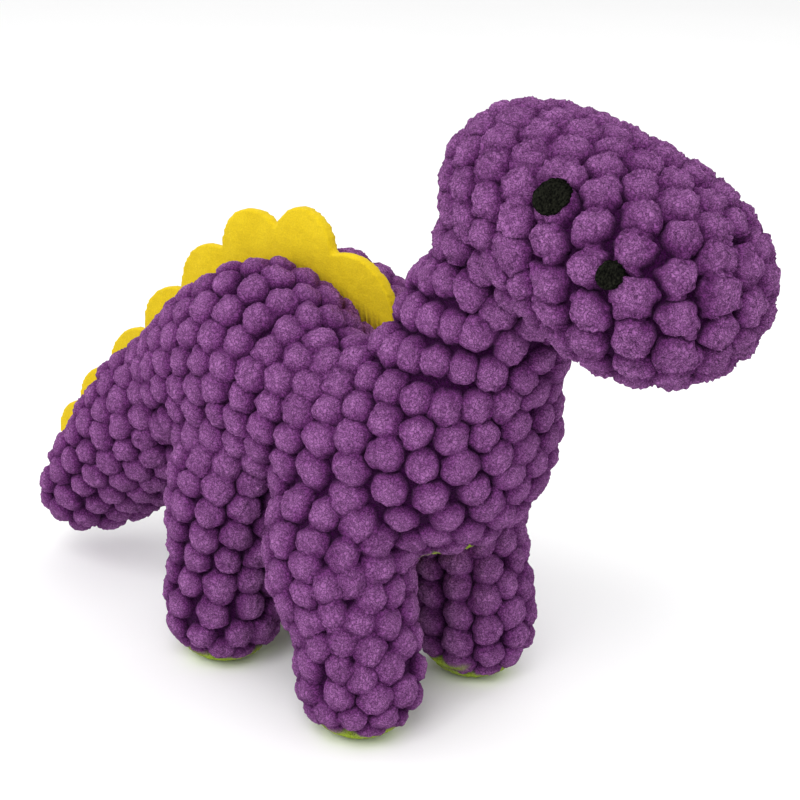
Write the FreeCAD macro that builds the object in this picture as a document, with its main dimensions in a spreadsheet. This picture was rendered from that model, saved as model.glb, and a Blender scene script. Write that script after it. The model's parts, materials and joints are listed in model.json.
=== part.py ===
import FreeCAD, Part
import math
import os

from FreeCAD import Placement, Rotation, Vector

# A stuffed long-necked dinosaur, in mm.  X runs towards the head, Y to the animal's
# left, Z up; the origin is on the floor under the middle of the toy.

doc = FreeCAD.newDocument("StuffedDinosaur")

# ---------------------------------------------------------------- driving sizes

SIZES = {
    # fabric and felt
    "cover_thick": 4.5,
    "felt_thick": 3.0,
    "felt_depth": 9.0,
    "joint_gap": 0.5,
    # torso: a barrel lying along X
    "torso_length": 131.5,
    "torso_rear": -68.8,
    "torso_width": 73.0,
    "torso_height": 68.8,
    "torso_level": 82.0,
    # neck: a short column between two ball joints
    "neck_ball": 20.5,
    "neck_pivot_x": 40.2,
    "neck_pivot_z": 101.0,
    # head, with the upper neck it is sewn to
    "head_ball": 17.8,
    "head_pivot_x": 49.5,
    "head_pivot_z": 119.5,
    "head_length": 88.5,
    "head_width": 58.4,
    "head_height": 50.8,
    "head_back_x": 39.2,
    "head_back_z": 159.6,
    # tail
    "tail_ball": 21.5,
    "tail_pivot_x": -54.3,
    "tail_pivot_z": 73.0,
    "tail_length": 88.0,
    "tail_width": 52.6,
    "tail_height": 47.8,
    # legs
    "front_spread": 24.5,
    "front_ball": 17.0,
    "front_pivot_x": 20.2,
    "front_pivot_z": 54.0,
    "front_foot_x": 29.9,
    "rear_spread": 19.5,
    "rear_ball": 15.5,
    "rear_pivot_x": -23.8,
    "rear_pivot_z": 56.0,
    "rear_foot_x": -27.6,
    "foot_radius": 17.2,
    "sole_radius": 11.5,
    # belly panel
    "belly_width": 20.0,
    "belly_length": 92.0,
    "belly_top": 61.0,
    # embroidered face
    "eye_radius": 4.4,
    "nostril_radius": 3.1,
    "stitch_thick": 1.6,
    # squeaker inside the torso
    "squeaker_x": -7.0,
    "squeaker_floor": 80.0,
    "squeaker_radius": 16.5,
    "squeaker_disc": 3.5,
    "squeaker_height": 24.0,
    "squeaker_wall": 1.2,
    "reed_tube_radius": 3.0,
    "reed_bore": 2.0,
    "reed_tube_height": 12.0,
    "reed_thick": 0.4,
}

sheet = doc.addObject("Spreadsheet::Sheet", "Sizes")
for row, (alias, value) in enumerate(SIZES.items(), start=1):
    sheet.set("A%d" % row, alias)
    sheet.set("B%d" % row, str(value))
    sheet.setAlias("B%d" % row, alias)
doc.recompute()


def size(alias):
    """The value of one driving size."""
    return SIZES[alias]


def bind(item, prop, expression):
    """Bind one property to an expression over the driving sizes."""
    item.setExpression(prop, expression)


def named(item, label):
    """Give an object the name its piece is saved under."""
    item.Label = label
    return item


# ------------------------------------------------------------ section tables
# Each row is one oval cross-section: how far along the axis it lies, how far it is
# offset upwards, then its width and height, all as shares of the part's own sizes.

TORSO_SECTIONS = (
    (0.000, -0.145, 0.17, 0.15),
    (0.031, -0.124, 0.42, 0.40),
    (0.093, -0.073, 0.68, 0.68),
    (0.193, 0.015, 0.84, 0.87),
    (0.347, 0.080, 0.95, 1.00),
    (0.541, 0.028, 1.00, 0.93),
    (0.710, -0.030, 0.99, 0.88),
    (0.850, -0.015, 0.90, 0.88),
    (0.934, -0.010, 0.68, 0.69),
    (0.981, -0.007, 0.41, 0.41),
    (1.000, -0.007, 0.17, 0.15),
)
HEAD_SECTIONS = (
    (0.000, 0.00, 0.20, 0.20),
    (0.030, 0.00, 0.42, 0.43),
    (0.106, 0.00, 0.66, 0.68),
    (0.247, 0.00, 0.86, 0.86),
    (0.447, 0.00, 0.97, 0.97),
    (0.650, 0.00, 1.00, 1.00),
    (0.800, 0.00, 0.91, 0.90),
    (0.910, 0.00, 0.70, 0.68),
    (0.972, 0.00, 0.44, 0.42),
    (1.000, 0.00, 0.20, 0.18),
)
TAIL_SECTIONS = (
    (0.000, 0.00, 0.79, 0.87),
    (0.130, 0.00, 0.93, 0.97),
    (0.330, 0.00, 1.00, 1.00),
    (0.600, 0.00, 0.88, 0.84),
    (0.780, 0.00, 0.77, 0.73),
    (0.900, 0.00, 0.62, 0.58),
    (0.970, 0.00, 0.39, 0.36),
    (1.000, 0.00, 0.17, 0.15),
)
# The upper neck: share of the way from the ball to the head, width and depth shares
# of the ball's own diameter.
THROAT_SECTIONS = (
    (0.00, 0.985, 0.98),
    (0.35, 1.13, 1.09),
    (0.75, 1.28, 1.16),
    (1.00, 1.30, 1.18),
)
# A leg's shaft: share of the way down from the ball to the ankle, which is also the
# share of the way from the ball's radius to the foot's.
LEG_SHAFT = (0.0, 0.5, 1.0)
# The round underside of a foot: height above the floor and radius, as shares of the
# foot's radius.  The last one is the small flat it stands on.
FOOT_ROUND = ((0.62, 0.95), (0.33, 0.78), (0.12, 0.54), (0.0, 0.33))

# ------------------------------------------------------------------ shape helpers


def oval(name, centre, facing, wide, tall):
    """An oval cross-section across the direction `facing` in the XZ plane."""
    item = doc.addObject("Part::Ellipse", name)
    bind(item, "MajorRadius", "max(%s; %s)" % (wide, tall))
    bind(item, "MinorRadius", "min(%s; %s)" % (wide, tall))
    up = Vector(-facing.z, 0, facing.x)
    item.Placement = Placement(centre, Rotation(Vector(0, 1, 0), up, facing, "ZXY"))
    return item


def skinned(name, ovals):
    """A smooth closed solid through a row of ovals."""
    item = doc.addObject("Part::Loft", name)
    item.Sections = ovals
    item.Solid = True
    item.Ruled = False
    return item


def ball(name, centre, radius):
    """A ball whose radius is an expression over the driving sizes."""
    item = doc.addObject("Part::Sphere", name)
    bind(item, "Radius", radius)
    item.Placement.Base = centre
    return item


def joined(name, items):
    """Several solids fused into one."""
    item = doc.addObject("Part::MultiFuse", name)
    item.Shapes = items
    item.Refine = False
    return item


def removed(name, base, tool):
    """One solid with another taken away."""
    item = doc.addObject("Part::Cut", name)
    item.Base = base
    item.Tool = tool
    item.Refine = False
    return item


def shared(name, first, second):
    """The part two solids have in common."""
    item = doc.addObject("Part::MultiCommon", name)
    item.Shapes = [first, second]
    item.Refine = False
    return item


def block(name, low, high):
    """A plain box between two corners."""
    item = doc.addObject("Part::Box", name)
    item.Length = high.x - low.x
    item.Width = high.y - low.y
    item.Height = high.z - low.z
    item.Placement.Base = low
    return item


def tapered(name, origin, facing, length, level, wide, tall, sections, inset):
    """A limb or the head: ovals in a row along `facing`, drawn in by `inset`."""
    ovals = []
    up = Vector(-facing.z, 0, facing.x)
    last = len(sections) - 1
    for index, (along, offset, wide_share, tall_share) in enumerate(sections):
        shift = inset if index == 0 else 0.0
        shift = -inset if index == last else shift
        centre = origin + facing * (along * length + shift) + up * (offset * level)
        ovals.append(oval(
            "%s_oval_%d" % (name, index),
            centre,
            facing,
            "Sizes.%s / 2 * %.3f - %.3f" % (wide, wide_share, min(inset, wide_share * inset * 1.6)),
            "Sizes.%s / 2 * %.3f - %.3f" % (tall, tall_share, min(inset, tall_share * inset * 1.6)),
        ))
    return skinned(name, ovals)


def swing_room(name, centre, facing, radius, swing, flare):
    """The room a ball-ended limb needs in its socket while it swings."""
    gap = size("joint_gap")
    socket = ball(name + "_socket", centre, "Sizes.%s + Sizes.joint_gap" % radius)
    set_back = size(radius) * math.sin(math.radians(swing)) + gap
    mouth = doc.addObject("Part::Cone", name + "_mouth")
    mouth.Height = 3.0 * size(radius)
    mouth.Radius1 = size(radius) + gap
    mouth.Radius2 = size(radius) + gap + mouth.Height.Value * math.tan(math.radians(flare))
    mouth.Placement = Placement(centre - facing * set_back, Rotation(Vector(0, 0, 1), facing))
    return joined(name, [socket, mouth])


# ---------------------------------------------------------------- places and axes


def toward(start, end):
    """The unit vector from one place to another."""
    step = end.sub(start)
    return step.normalize()


HEAD_DROOP = math.radians(20.6)
TAIL_DROOP = math.radians(42.3)

neck_pivot = Vector(size("neck_pivot_x"), 0, size("neck_pivot_z"))
head_pivot = Vector(size("head_pivot_x"), 0, size("head_pivot_z"))
tail_pivot = Vector(size("tail_pivot_x"), 0, size("tail_pivot_z"))
head_back = Vector(size("head_back_x"), 0, size("head_back_z"))
neck_axis = toward(neck_pivot, head_pivot)
head_axis = Vector(math.cos(HEAD_DROOP), 0, -math.sin(HEAD_DROOP))
tail_axis = Vector(-math.cos(TAIL_DROOP), 0, -math.sin(TAIL_DROOP))
throat_top = head_back + head_axis * (0.27 * size("head_length"))

LEGS = (
    ("front", "left", 1),
    ("front", "right", -1),
    ("rear", "left", 1),
    ("rear", "right", -1),
)
NECK_SWING = 12
HEAD_SWING = 8
TAIL_SWING = 20
LEG_SWING = 18


def leg_pivot(pair, side):
    """The centre of one leg's ball."""
    return Vector(size(pair + "_pivot_x"), side * size(pair + "_spread"), size(pair + "_pivot_z"))


def leg_foot(pair, side):
    """The point on the floor under one leg's foot."""
    return Vector(size(pair + "_foot_x"), side * size(pair + "_spread"), 0)


# ------------------------------------------------------------------- spike strip
# The felt strip follows the back from the neck to the tip of the tail.  Its upper
# edge is a row of round lobes that get lower towards the tail.

VALLEYS = (
    Vector(16.2, 0, 105.5),
    Vector(-6.3, 0, 121.5),
    Vector(-28.3, 0, 124.5),
    Vector(-48.8, 0, 114.0),
    Vector(-66.8, 0, 97.5),
    Vector(-81.8, 0, 81.5),
    Vector(-98.3, 0, 65.0),
    Vector(-112.8, 0, 50.0),
    Vector(-123.3, 0, 37.0),
)
LOBE_RISE = (8.0, 9.2, 8.4, 6.4, 6.0, 5.4, 4.8, 3.8)
BACK_LOBES = 4
STRIP_BREAK = 1.2


def lobed_strip(name, first, last, trim):
    """The strip from valley `first` to valley `last`, padded both ways from Y = 0."""
    body = doc.addObject("PartDesign::Body", name)
    sketch = doc.addObject("Sketcher::SketchObject", name + "_outline")
    body.addObject(sketch)
    sketch.AttachmentSupport = [(body.Origin.OriginFeatures[4], "")]
    sketch.MapMode = "FlatFace"
    doc.recompute()
    edges = []
    inner = []
    lay = sketch.Placement.inverse()
    start = VALLEYS[first]
    for index in range(first, last):
        low = start
        high = VALLEYS[index + 1]
        if index == last - 1:
            high = high - toward(low, high) * trim
        along = toward(low, high)
        outward = Vector(along.z, 0, -along.x)
        crown = (low + high) * 0.5 + outward * LOBE_RISE[index]
        edges.append(Part.Arc(lay.multVec(low), lay.multVec(crown), lay.multVec(high)))
        if index == first:
            inner.append(low - outward * size("felt_depth"))
        inner.append(high - outward * size("felt_depth"))
        start = high
    inner.append(start)
    inner.insert(0, VALLEYS[first])
    for low, high in zip(inner, inner[1:]):
        edges.append(Part.LineSegment(lay.multVec(low), lay.multVec(high)))
    sketch.addGeometry(edges, False)
    pad = body.newObject("PartDesign::Pad", name + "_pad")
    pad.Profile = sketch
    pad.Midplane = True
    bind(pad, "Length", "Sizes.felt_thick")
    body.Tip = pad
    return body


# -------------------------------------------------------------------------- torso

torso_origin = Vector(size("torso_rear"), 0, size("torso_level"))
along_x = Vector(1, 0, 0)


def torso_solid(name, inset):
    """The barrel of the torso, `inset` inside the cover's outer face."""
    return tapered(
        name, torso_origin, along_x, size("torso_length"), size("torso_height"),
        "torso_width", "torso_height", TORSO_SECTIONS, inset,
    )


rooms = [
    swing_room("neck_room", neck_pivot, neck_axis, "neck_ball", NECK_SWING, 42),
    swing_room("tail_room", tail_pivot, tail_axis, "tail_ball", TAIL_SWING, 50),
]
for pair, side_name, side in LEGS:
    pivot = leg_pivot(pair, side)
    rooms.append(swing_room(
        "%s_%s_room" % (pair, side_name),
        pivot,
        toward(pivot, leg_foot(pair, side)),
        pair + "_ball",
        LEG_SWING,
        LEG_SWING + 4,
    ))
all_rooms = joined("joint_rooms", rooms)

torso_outer = torso_solid("torso_outer", 0.0)
torso_inner = torso_solid("torso_inner", size("cover_thick"))
torso_open = removed("torso_open", torso_outer, all_rooms)
torso_shell = removed("torso_shell", torso_open, torso_inner)

back_strip_whole = lobed_strip("back_strip_whole", 0, BACK_LOBES, STRIP_BREAK)
doc.recompute()
back_strip_clear = removed("back_strip_clear", back_strip_whole, all_rooms)
strip_seat = removed("back_spikes", back_strip_clear, torso_inner)
named(strip_seat, "back_spikes")

belly_block = doc.addObject("Part::Box", "belly_block")
bind(belly_block, "Length", "Sizes.belly_length")
bind(belly_block, "Width", "Sizes.belly_width")
bind(belly_block, "Height", "Sizes.belly_top")
belly_block.Placement.Base = Vector(-size("belly_length") / 2, -size("belly_width") / 2, 0)
named(shared("belly_panel", torso_shell, belly_block), "belly_panel")
side_panels = removed("side_panels", torso_shell, joined("between_panels", [belly_block, strip_seat]))

REACH = 200.0
for side_name, low_y, high_y in (("left", 0.0, REACH), ("right", -REACH, 0.0)):
    side_block = block(
        "torso_%s_block" % side_name,
        Vector(-REACH, low_y, 0),
        Vector(REACH, high_y, REACH),
    )
    label = "torso_cover_" + side_name
    named(shared(label, side_panels, side_block), label)

# ----------------------------------------------------------------------- squeaker

squeaker_base = Vector(size("squeaker_x"), 0, size("squeaker_floor"))


def upright(name, radius, height, lift):
    """An upright cylinder on the squeaker's axis, sizes given as expressions."""
    item = doc.addObject("Part::Cylinder", name)
    bind(item, "Radius", radius)
    bind(item, "Height", height)
    item.Placement.Base = squeaker_base + Vector(0, 0, lift)
    return item


cavity = upright("squeaker_room", "Sizes.squeaker_radius + 1", "Sizes.squeaker_height + 1", 0)
torso_fill = shared("torso_fill", torso_open, torso_inner)
named(removed("torso_stuffing", torso_fill, cavity), "torso_stuffing")

bore = upright("reed_tube_hole", "Sizes.reed_tube_radius", "Sizes.squeaker_disc", 0)
disc = upright("squeaker_disc_blank", "Sizes.squeaker_radius", "Sizes.squeaker_disc", 0)
named(removed("squeaker_base", disc, bore), "squeaker_base")

tube = upright("reed_tube_blank", "Sizes.reed_tube_radius", "Sizes.reed_tube_height", 0)
tube_bore = upright("reed_tube_bore", "Sizes.reed_bore", "Sizes.reed_tube_height", 0)
named(removed("squeaker_reed_tube", tube, tube_bore), "squeaker_reed_tube")

reed = doc.addObject("Part::Box", "squeaker_reed")
bind(reed, "Length", "Sizes.reed_thick")
bind(reed, "Width", "Sizes.reed_bore * 1.8")
bind(reed, "Height", "Sizes.reed_tube_height * 0.75")
reed.Placement.Base = squeaker_base + Vector(0.2, -0.9 * size("reed_bore"), 2.0)
named(reed, "squeaker_reed")


def revolved(name, profile):
    """A body turned about its own vertical axis from a closed outline."""
    body = doc.addObject("PartDesign::Body", name)
    sketch = doc.addObject("Sketcher::SketchObject", name + "_profile")
    body.addObject(sketch)
    sketch.AttachmentSupport = [(body.Origin.OriginFeatures[4], "")]
    sketch.MapMode = "FlatFace"
    doc.recompute()
    closed = list(profile) + [profile[0]]
    lines = [
        Part.LineSegment(Vector(low[0], low[1], 0), Vector(high[0], high[1], 0))
        for low, high in zip(closed, closed[1:])
    ]
    sketch.addGeometry(lines, False)
    turn = body.newObject("PartDesign::Revolution", name + "_turn")
    turn.Profile = sketch
    turn.ReferenceAxis = (sketch, ["V_Axis"])
    turn.Angle = 360
    body.Tip = turn
    return body


def bellows_profile():
    """The squeaker's folded side wall, between its two discs."""
    outer = size("squeaker_radius")
    low = size("squeaker_disc")
    high = size("squeaker_height") - size("squeaker_disc")
    folds = 3
    step = (high - low) / (2 * folds)
    waist = outer - 3.5
    face = [(waist if index % 2 == 0 else outer, low + index * step) for index in range(2 * folds + 1)]
    back = [(radius - size("squeaker_wall"), height) for radius, height in reversed(face)]
    return face + back


bellows = revolved("squeaker_bellows", bellows_profile())
bellows.Placement.Base = squeaker_base
named(bellows, "squeaker_bellows")

cap_lift = size("squeaker_height") - size("squeaker_disc")
named(upright("squeaker_cap", "Sizes.squeaker_radius", "Sizes.squeaker_disc", cap_lift), "squeaker_cap")

# --------------------------------------------------------------------------- neck

head_room = swing_room("head_room", head_pivot, neck_axis, "head_ball", HEAD_SWING, 60)


def neck_solid(name, inset):
    """The lower neck: a ball in the torso and a short column up to the head joint."""
    reach = head_pivot.sub(neck_pivot).Length
    ovals = []
    for index, along in enumerate((0.0, 0.45, 0.95)):
        ovals.append(oval(
            "%s_oval_%d" % (name, index),
            neck_pivot + neck_axis * (along * reach),
            neck_axis,
            "Sizes.neck_ball * %.3f - %.3f" % (0.985 + 0.02 * along, inset),
            "Sizes.neck_ball * %.3f - %.3f" % (0.985 - 0.03 * along, inset),
        ))
    column = skinned(name + "_column", ovals)
    return joined(name, [ball(name + "_ball", neck_pivot, "Sizes.neck_ball - %.3f" % inset), column])


neck_outer = removed("neck_outer_open", neck_solid("neck_outer", 0.0), head_room)
neck_inner = neck_solid("neck_inner", size("cover_thick"))
named(removed("neck_cover", neck_outer, neck_inner), "neck_cover")
named(shared("neck_stuffing", neck_outer, neck_inner), "neck_stuffing")

# --------------------------------------------------------------------------- head


def head_solid(name, inset):
    """The head, the throat under it and the ball it turns on."""
    skull = tapered(
        name + "_skull", head_back, head_axis, size("head_length"), 0,
        "head_width", "head_height", HEAD_SECTIONS, inset,
    )
    rise = toward(head_pivot, throat_top)
    reach = throat_top.sub(head_pivot).Length
    ovals = []
    for index, (along, wide, tall) in enumerate(THROAT_SECTIONS):
        ovals.append(oval(
            "%s_throat_%d" % (name, index),
            head_pivot + rise * (along * reach),
            rise,
            "Sizes.head_ball * %.3f - %.3f" % (wide, inset),
            "Sizes.head_ball * %.3f - %.3f" % (tall, inset),
        ))
    throat = skinned(name + "_throat", ovals)
    turn_ball = ball(name + "_ball", head_pivot, "Sizes.head_ball - %.3f" % inset)
    return joined(name, [skull, throat, turn_ball])


def stitched_patch(name, centre, outward, radius):
    """A flat round patch of satin stitch facing `outward`."""
    body = doc.addObject("PartDesign::Body", name)
    sketch = doc.addObject("Sketcher::SketchObject", name + "_outline")
    body.addObject(sketch)
    sketch.AttachmentSupport = [(body.Origin.OriginFeatures[3], "")]
    sketch.MapMode = "FlatFace"
    sketch.addGeometry(Part.Circle(Vector(0, 0, 0), Vector(0, 0, 1), size(radius)), False)
    pad = body.newObject("PartDesign::Pad", name + "_pad")
    pad.Profile = sketch
    pad.Midplane = True
    bind(pad, "Length", "Sizes.stitch_thick")
    body.Tip = pad
    body.Placement = Placement(centre, Rotation(Vector(0, 0, 1), outward))
    return named(body, name)


def on_head(along, lift_angle, side):
    """A place on the side of the head and the way it faces there."""
    share = [row for row in HEAD_SECTIONS if row[0] >= along][0]
    before = [row for row in HEAD_SECTIONS if row[0] < along][-1]
    mix = (along - before[0]) / (share[0] - before[0])
    wide = size("head_width") / 2 * (before[2] + (share[2] - before[2]) * mix)
    tall = size("head_height") / 2 * (before[3] + (share[3] - before[3]) * mix)
    angle = math.radians(lift_angle)
    up = Vector(-head_axis.z, 0, head_axis.x)
    centre = head_back + head_axis * (along * size("head_length"))
    spot = centre + Vector(0, side * wide * math.cos(angle), 0) + up * (tall * math.sin(angle))
    outward = Vector(0, side * math.cos(angle) / wide, 0) + up * (math.sin(angle) / tall)
    return spot, outward.normalize()


head_outer = head_solid("head_outer", 0.0)
head_inner = head_solid("head_inner", size("cover_thick"))
patches = []
for side_name, side in (("left", 1), ("right", -1)):
    eye_spot, eye_way = on_head(0.46, 34, side)
    patches.append(stitched_patch("eye_" + side_name, eye_spot, eye_way, "eye_radius"))
    nostril_spot, nostril_way = on_head(0.72, 19, side)
    patches.append(stitched_patch("nostril_" + side_name, nostril_spot, nostril_way, "nostril_radius"))
head_shell = removed("head_shell", head_outer, joined("head_within", [head_inner] + patches))
for side_name, low_y, high_y in (("left", 0.0, REACH), ("right", -REACH, 0.0)):
    side_block = block(
        "head_%s_block" % side_name,
        Vector(-REACH, low_y, 0),
        Vector(REACH, high_y, 2 * REACH),
    )
    label = "head_cover_" + side_name
    named(shared(label, head_shell, side_block), label)
named(head_inner, "head_stuffing")

# --------------------------------------------------------------------------- tail


def tail_solid(name, inset):
    """The tail and the ball it swings on."""
    taper = tapered(
        name + "_taper", tail_pivot, tail_axis, size("tail_length"), 0,
        "tail_width", "tail_height", TAIL_SECTIONS, inset,
    )
    return joined(name, [taper, ball(name + "_ball", tail_pivot, "Sizes.tail_ball - %.3f" % inset)])


tail_outer = tail_solid("tail_outer", 0.0)
tail_inner = tail_solid("tail_inner", size("cover_thick"))
tail_strip_whole = lobed_strip("tail_strip_whole", BACK_LOBES, len(LOBE_RISE), 0.0)
doc.recompute()
tail_spikes = removed("tail_spikes", tail_strip_whole, tail_inner)
named(tail_spikes, "tail_spikes")
named(removed("tail_cover", tail_outer, joined("tail_within", [tail_inner, tail_spikes])), "tail_cover")
named(tail_inner, "tail_stuffing")

# --------------------------------------------------------------------------- legs


def leg_solid(name, pair, side, inset):
    """A leg: a ball at the hip, a leaning shaft and a rounded foot."""
    pivot = leg_pivot(pair, side)
    foot = leg_foot(pair, side)
    ankle = foot + Vector(0, 0, size("foot_radius"))
    down = toward(pivot, ankle)
    flat = Vector(0, 0, -1)
    foot_radius = size("foot_radius")
    ovals = []
    for index, along in enumerate(LEG_SHAFT):
        facing = (down * (1 - along) + flat * along).normalize()
        radius = "Sizes.%s_ball * %.3f + Sizes.foot_radius * %.3f - %.3f" % (
            pair, 0.985 * (1 - along), along, inset,
        )
        spot = pivot + ankle.sub(pivot) * along
        ovals.append(oval("%s_shaft_%d" % (name, index), spot, facing, radius, radius))
    for index, (height, share) in enumerate(FOOT_ROUND):
        radius = "Sizes.foot_radius * %.3f - %.3f" % (share, inset * min(1.0, share * 1.1))
        lift = Vector(0, 0, height * (foot_radius - inset) + inset)
        ovals.append(oval("%s_foot_%d" % (name, index), foot + lift, flat, radius, radius))
    shaft = skinned(name + "_shaft", ovals)
    return joined(name, [shaft, ball(name + "_ball", pivot, "Sizes.%s_ball - %.3f" % (pair, inset))])


for pair, side_name, side in LEGS:
    prefix = "%s_leg_%s" % (pair, side_name)
    leg_outer = leg_solid(prefix + "_outer", pair, side, 0.0)
    leg_inner = leg_solid(prefix + "_inner", pair, side, size("cover_thick"))
    leg_shell = removed(prefix + "_shell", leg_outer, leg_inner)
    sole_cutter = doc.addObject("Part::Cylinder", prefix + "_sole_cutter")
    bind(sole_cutter, "Radius", "Sizes.sole_radius")
    bind(sole_cutter, "Height", "Sizes.cover_thick + 3")
    sole_cutter.Placement.Base = leg_foot(pair, side)
    named(shared(prefix + "_sole", leg_shell, sole_cutter), prefix + "_sole")
    named(removed(prefix + "_cover", leg_shell, sole_cutter), prefix + "_cover")
    named(leg_inner, prefix + "_stuffing")

# --------------------------------------------------------------- checks and files

NODES = ["torso_cover_left", "torso_cover_right", "belly_panel", "torso_stuffing", "back_spikes"]
NODES += ["squeaker_base", "squeaker_bellows", "squeaker_reed_tube", "squeaker_reed", "squeaker_cap"]
NODES += ["neck_cover", "neck_stuffing", "head_cover_left", "head_cover_right", "head_stuffing"]
NODES += ["eye_left", "eye_right", "nostril_left", "nostril_right"]
NODES += ["tail_cover", "tail_stuffing", "tail_spikes"]
for pair, side_name, side in LEGS:
    NODES += ["%s_leg_%s_%s" % (pair, side_name, part) for part in ("cover", "stuffing", "sole")]

doc.recompute()
for item in doc.Objects:
    if "Invalid" in item.State or "Error" in item.State:
        raise RuntimeError("%s did not build: %s" % (item.Name, item.State))

os.makedirs("parts", exist_ok=True)
for node in NODES:
    item = doc.getObjectsByLabel(node)[0]
    if item.Shape.isNull() or not item.Shape.isValid():
        raise RuntimeError("%s is not a valid shape" % node)
    print("%-26s solids %d volume %.0f" % (node, len(item.Shape.Solids), item.Shape.Volume))
    item.Shape.exportStep("parts/%s.step" % node)
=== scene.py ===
import json
import math

import bpy
import numpy as np
from mathutils import Matrix, Vector, kdtree, noise
from mathutils.bvhtree import BVHTree

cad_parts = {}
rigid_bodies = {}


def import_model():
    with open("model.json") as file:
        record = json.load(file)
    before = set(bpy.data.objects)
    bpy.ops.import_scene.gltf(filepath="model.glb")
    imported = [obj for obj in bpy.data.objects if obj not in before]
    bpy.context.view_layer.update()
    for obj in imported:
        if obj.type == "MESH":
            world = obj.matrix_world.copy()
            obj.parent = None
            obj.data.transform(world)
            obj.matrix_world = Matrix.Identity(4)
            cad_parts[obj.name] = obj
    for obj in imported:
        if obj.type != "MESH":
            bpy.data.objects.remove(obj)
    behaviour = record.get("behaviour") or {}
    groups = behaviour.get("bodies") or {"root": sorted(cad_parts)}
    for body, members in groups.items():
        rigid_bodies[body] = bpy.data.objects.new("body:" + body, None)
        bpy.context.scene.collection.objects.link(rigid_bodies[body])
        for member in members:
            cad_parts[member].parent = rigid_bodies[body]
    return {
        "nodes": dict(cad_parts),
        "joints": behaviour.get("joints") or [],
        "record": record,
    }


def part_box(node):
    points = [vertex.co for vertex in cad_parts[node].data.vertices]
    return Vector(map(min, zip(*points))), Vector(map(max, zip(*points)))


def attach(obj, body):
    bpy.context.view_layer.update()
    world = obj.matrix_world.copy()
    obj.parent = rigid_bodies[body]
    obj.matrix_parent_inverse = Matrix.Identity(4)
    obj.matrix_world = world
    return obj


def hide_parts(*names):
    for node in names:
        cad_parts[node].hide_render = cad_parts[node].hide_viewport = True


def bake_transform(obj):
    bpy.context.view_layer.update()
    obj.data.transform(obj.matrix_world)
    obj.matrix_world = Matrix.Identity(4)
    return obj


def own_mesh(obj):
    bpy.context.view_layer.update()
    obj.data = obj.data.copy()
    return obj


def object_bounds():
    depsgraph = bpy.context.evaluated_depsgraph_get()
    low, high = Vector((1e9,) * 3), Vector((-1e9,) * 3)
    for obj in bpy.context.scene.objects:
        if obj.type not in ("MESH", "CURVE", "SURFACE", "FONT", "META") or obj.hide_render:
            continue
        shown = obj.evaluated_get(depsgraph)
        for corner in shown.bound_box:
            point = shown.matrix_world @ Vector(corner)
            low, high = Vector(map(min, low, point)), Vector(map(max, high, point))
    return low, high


# The looks of a stuffed long-necked dinosaur: bobble plush over stuffing, a felt strip
# down the back, fleece soles and belly, and an embroidered face.  All in metres, in the
# frame's own axes: X to the head, Y to the animal's left, Z up.

for leftover in list(bpy.data.objects):
    bpy.data.objects.remove(leftover)
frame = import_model()
cad_low, cad_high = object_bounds()
MM = 0.001
rng = np.random.default_rng(7)

# -------------------- facts from the frame

BODIES = frame["record"]["behaviour"]["bodies"]
JOINTS = {joint["child"]: joint for joint in frame["joints"]}
LEGS = [name for name in BODIES if "_leg_" in name]
FABRIC_PARTS = ("cover", "stuffing", "sole", "panel")
FACE_NODES = ("eye_left", "eye_right", "nostril_left", "nostril_right")
TAIL_TIP_SLOPE = 0.12


def pivot(body):
    """Where a body's joint is, as an array."""
    return np.array(JOINTS[body]["pos_m"], float)


def node_box(node):
    """The low and high corners of a CAD node, as arrays."""
    low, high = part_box(node)
    return np.array(low, float), np.array(high, float)


def node_centre(node):
    """The middle of a CAD node's box."""
    low, high = node_box(node)
    return (low + high) / 2


def unit(vector):
    """The vector at length one."""
    return vector / np.linalg.norm(vector)


neck_axis = unit(pivot("head") - pivot("neck"))
tail_low, tail_high = node_box("tail_stuffing")
tail_lift = (tail_high[0] - tail_low[0]) * TAIL_TIP_SLOPE
tail_tip = np.array([tail_low[0], 0, tail_low[2] + tail_lift])
tail_axis = unit(tail_tip - pivot("tail"))
leg_axis = {leg: unit(node_centre(leg + "_sole") - pivot(leg)) for leg in LEGS}
belly_low, belly_high = node_box("belly_panel")
sole_low, sole_high = node_box(LEGS[0] + "_sole")

# -------------------- driving sizes

# the grid that holds the stuffed shape, how far round a body it is filled, the voxels a
# body is remeshed with, and the shares of the way to its neighbours that each point of
# the skin is then moved
GRID = 2.4 * MM
GATHER = 12 * MM
SOLID_VOXEL = 1.3 * MM
SMOOTHING = (0.5, 0.5, -0.3, 0.5, 0.5, -0.3)

# how widely each body is rounded into the ones before it
BODY_ROUND = {"torso": 4 * MM, "neck": 12 * MM, "head": 7 * MM, "tail": 9 * MM}
LEG_ROUND = 7 * MM

# round tapers that close the gaps the CAD leaves at its joints: their radii, their lengths
# from the joint, and how widely they are rounded in
NECK_ROOT_RADIUS = 26 * MM
NECK_RADIUS = 20.5 * MM
THROAT_RADIUS = 19.5 * MM
TAIL_ROOT_RADIUS = 25 * MM
TAIL_RADIUS = 23.5 * MM
HIP_RADIUS = 17.5 * MM
THIGH_RADIUS = 16.5 * MM
NECK_INTO_TORSO = 10 * MM
NECK_OUT = 8 * MM
THROAT_INTO_HEAD = 6 * MM
TAIL_INTO_TORSO = 16 * MM
TAIL_OUT = 14 * MM
THIGH_LENGTH = 12 * MM
NECK_ROUND = 10 * MM
THROAT_ROUND = 6 * MM
ROOT_ROUND = 8 * MM

# the crease behind the neck, and the skin drawn in along the felt strips
CREASE_PLACE = np.array([18.5, 0, 110]) * MM
CREASE_SIZE = np.array([21, 22, 18]) * MM
CREASE_DEPTH = 8.5 * MM
SEAM_REACH = 18 * MM
BACK_SEAM = 4.2 * MM
TAIL_SEAM = 7.0 * MM

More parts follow.
